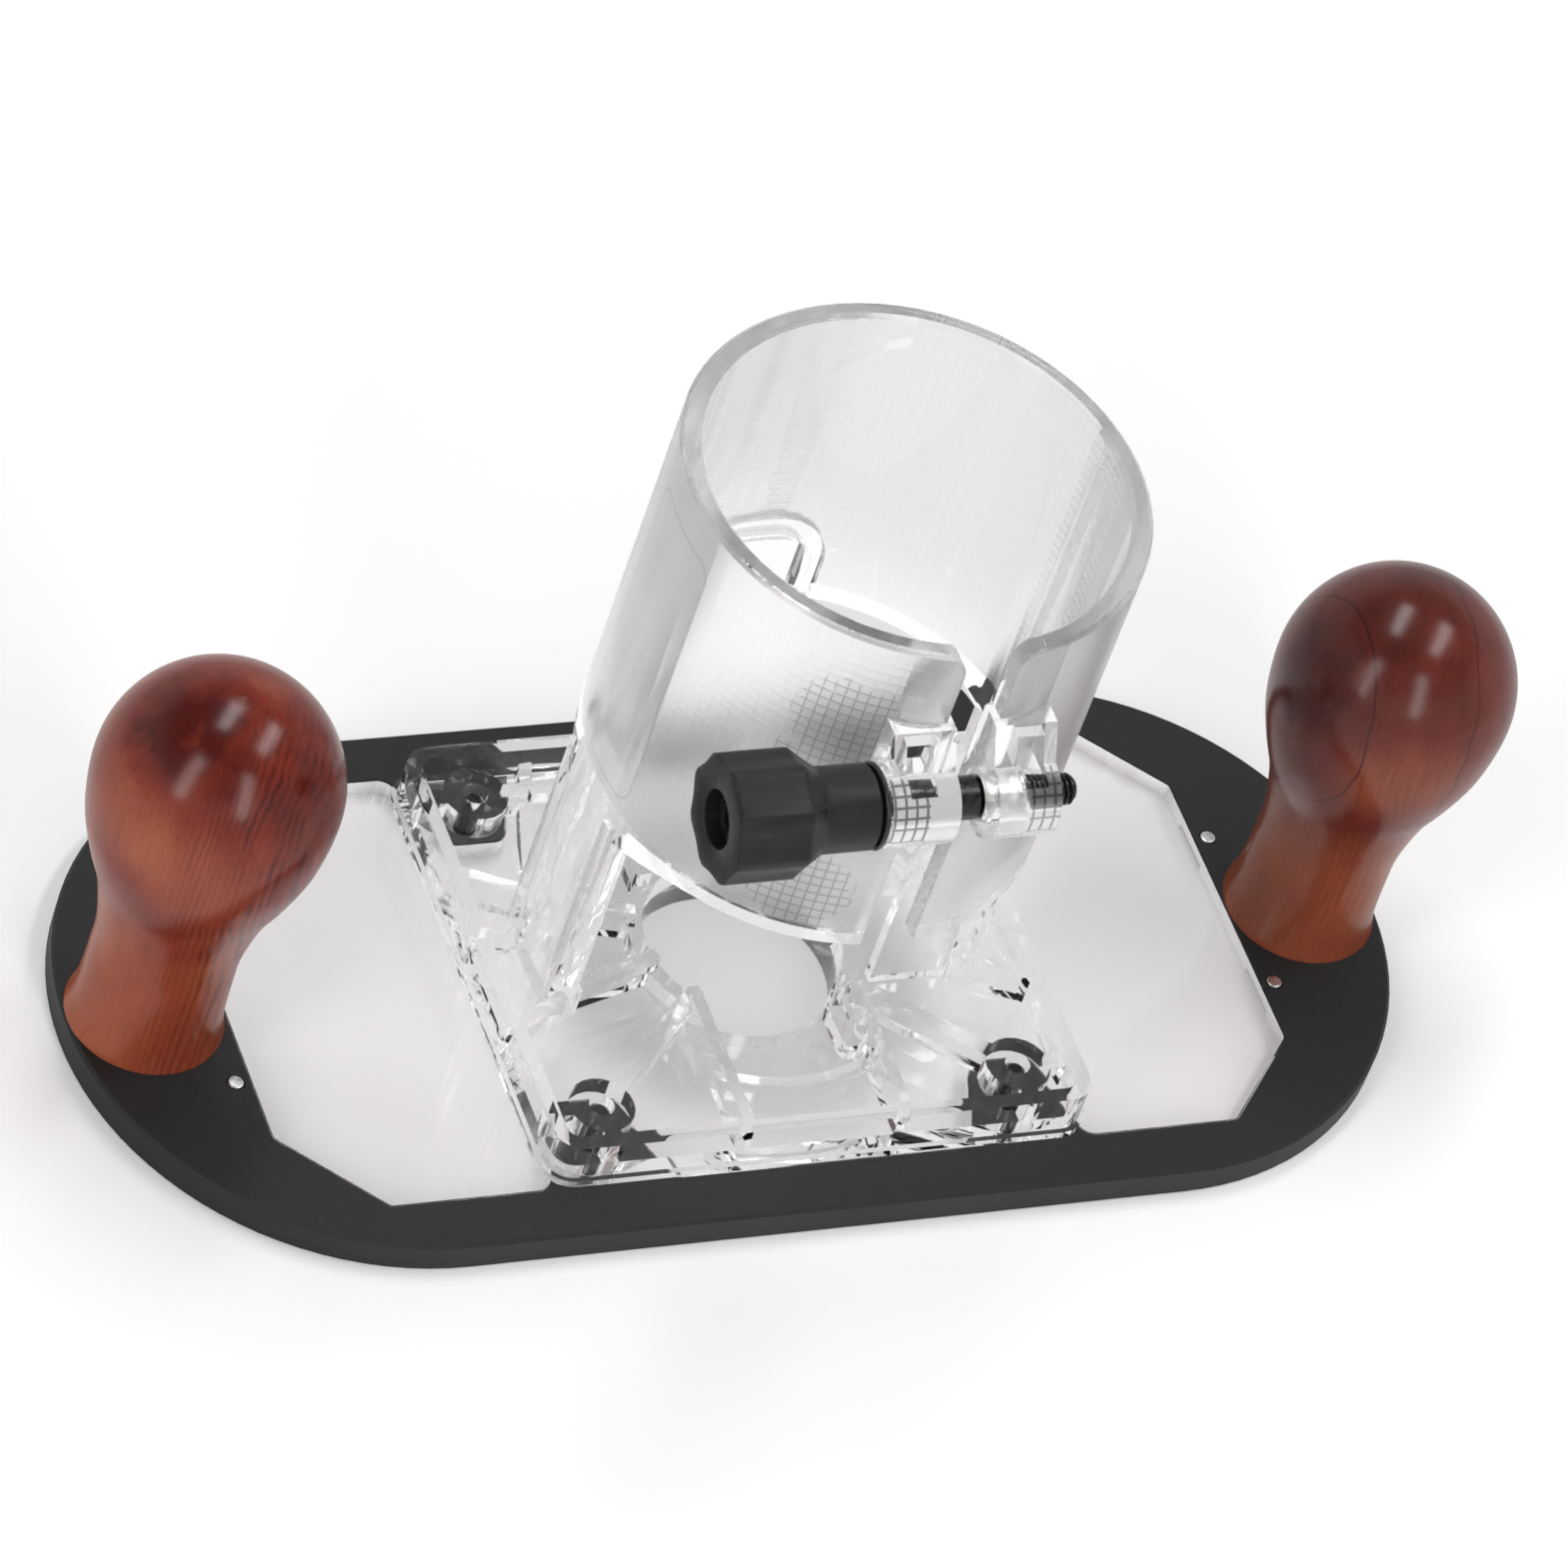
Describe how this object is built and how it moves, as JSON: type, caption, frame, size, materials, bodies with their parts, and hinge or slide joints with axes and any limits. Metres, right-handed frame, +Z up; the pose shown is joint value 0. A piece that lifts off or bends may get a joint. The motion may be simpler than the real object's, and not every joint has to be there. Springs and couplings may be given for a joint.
{
  "type": "trim router base",
  "caption": "Wide sub-base for a trim router: a black plate with a clear window and wooden handles carries a clear base with a split clamping sleeve.",
  "frame": {"origin": "on the plate's underside, on the axis of the motor sleeve and the bit hole", "axes": "+X along the plate towards the far clamp ear, +Y to the back, away from the clamp, +Z up along the sleeve"},
  "size_m": [0.2308, 0.1, 0.1126],
  "materials": {
    "black_plate": "matte black anodised",
    "clear_sheet": "clear polished acrylic",
    "clear_moulding": "clear moulded plastic, some faces with a fine raised grid",
    "steel": "plain steel",
    "black_screw": "black oxide",
    "wood": "glossy lacquered red-brown hardwood",
    "brass": "turned brass",
    "black_plastic": "satin black moulded plastic",
    "black_steel": "black oxide",
    "bright_insert": "bright plated threaded insert"
  },
  "bodies": {
    "base": {"base_plate": "black_plate", "acrylic_window": "clear_sheet", "router_base": "clear_moulding", "window_pin_1": "steel", "window_pin_2": "steel", "window_pin_3": "steel", "window_pin_4": "steel", "base_screw_1": "black_screw", "base_screw_2": "black_screw", "base_screw_3": "black_screw", "base_screw_4": "black_screw", "handle_left": "wood", "handle_right": "wood", "handle_insert_left": "brass", "handle_insert_right": "brass", "handle_bolt_left": "steel", "handle_bolt_right": "steel", "clamp_insert": "bright_insert"},
    "washer": {"clamp_washer": "black_plastic"},
    "knob": {"clamp_knob": "black_plastic", "clamp_bolt": "black_steel"}
  },
  "joints": [
    {"name": "clamp_travel", "type": "slide", "parent": "base", "child": "washer", "axis": [1, 0, 0], "range_m": [-0.0048, 0]},
    {"name": "clamp_turn", "type": "hinge", "parent": "washer", "child": "knob", "pos_m": [0, -0.04, 0.0869], "axis": [1, 0, 0], "range_deg": [-2160, 0]}
  ],
  "couplings": [
    {"joint": "clamp_travel", "follows": "clamp_turn", "m_per_rad": 0.00012732}
  ]
}
